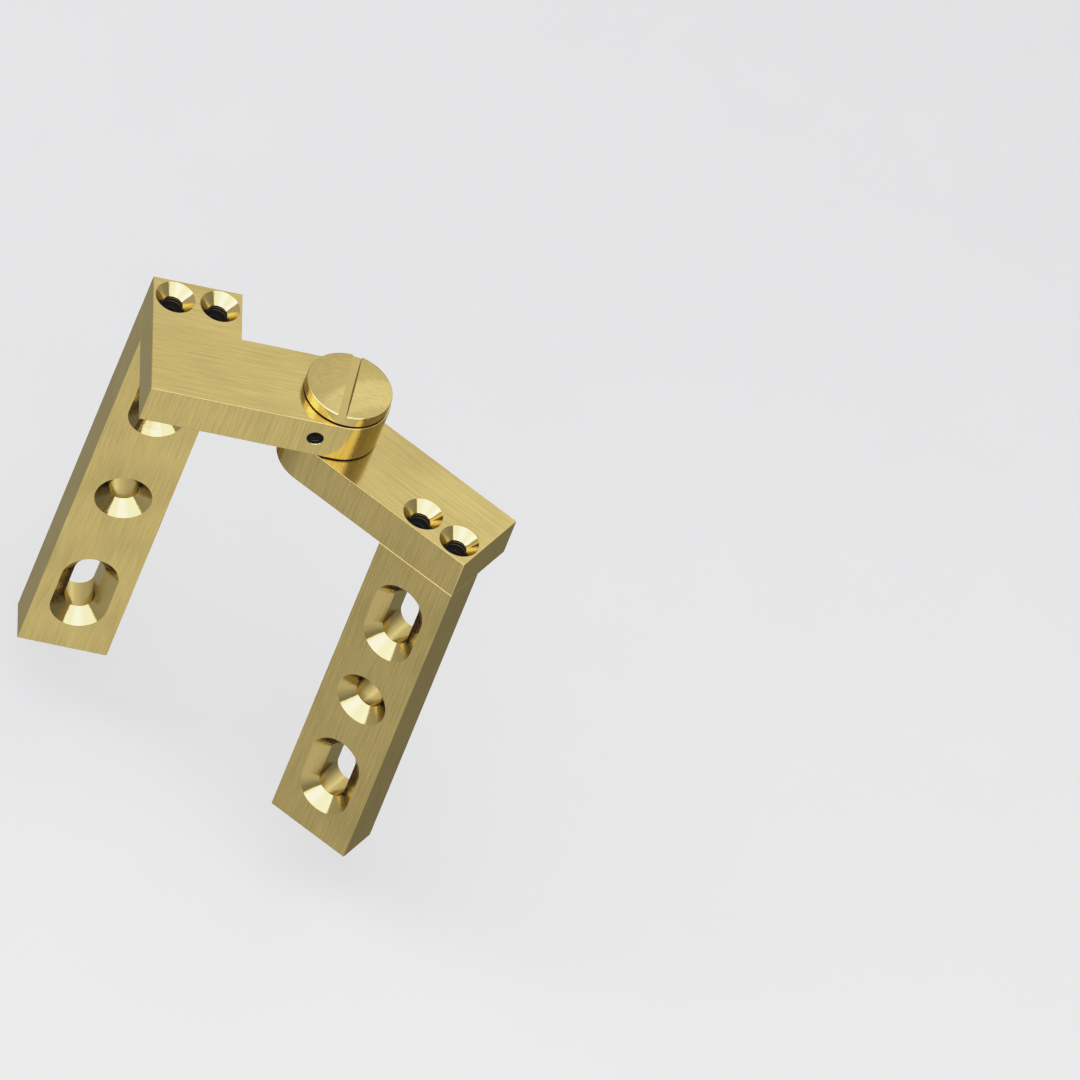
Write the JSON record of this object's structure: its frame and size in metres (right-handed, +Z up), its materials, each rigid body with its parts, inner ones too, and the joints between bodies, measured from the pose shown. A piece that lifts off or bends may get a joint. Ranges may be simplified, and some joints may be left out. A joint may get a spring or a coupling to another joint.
{
  "type": "offset pivot door hinge",
  "caption": "Offset pivot hinge for an inset door: two thick plates on a slotted pivot pin, each with a countersunk leg hanging down.",
  "frame": {"origin": "on the pivot axis, at the underside of the door plate", "axes": "+Z up along the pivot axis, +X from the frame leg towards the pivot, +Y towards the backs of the legs"},
  "size_m": [0.0848, 0.0565, 0.1116],
  "materials": {
    "plate_brass": "brushed satin",
    "leg_brass": "brushed satin",
    "pin_brass": "brushed satin top, turned rim",
    "screw_steel": "black oxide",
    "pad_brass": "plain turned",
    "washer_plastic": "matt",
    "bush_plastic": "matt"
  },
  "bodies": {
    "frame_leaf": {"frame_plate": "plate_brass", "frame_leg": "leg_brass", "frame_leg_screws": "screw_steel", "pivot_pin": "pin_brass", "head_shim": "washer_plastic", "pin_lock_screw": "screw_steel", "pin_lock_pad": "pad_brass"},
    "door_leaf": {"door_plate": "plate_brass", "door_leg": "leg_brass", "door_leg_screws": "screw_steel", "pivot_bush": "bush_plastic", "thrust_washer": "washer_plastic"}
  },
  "joints": [
    {"name": "door_pivot", "type": "hinge", "parent": "frame_leaf", "child": "door_leaf", "pos_m": [0, 0, 0], "axis": [0, 0, 1], "range_deg": [-144.8, 151]}
  ]
}
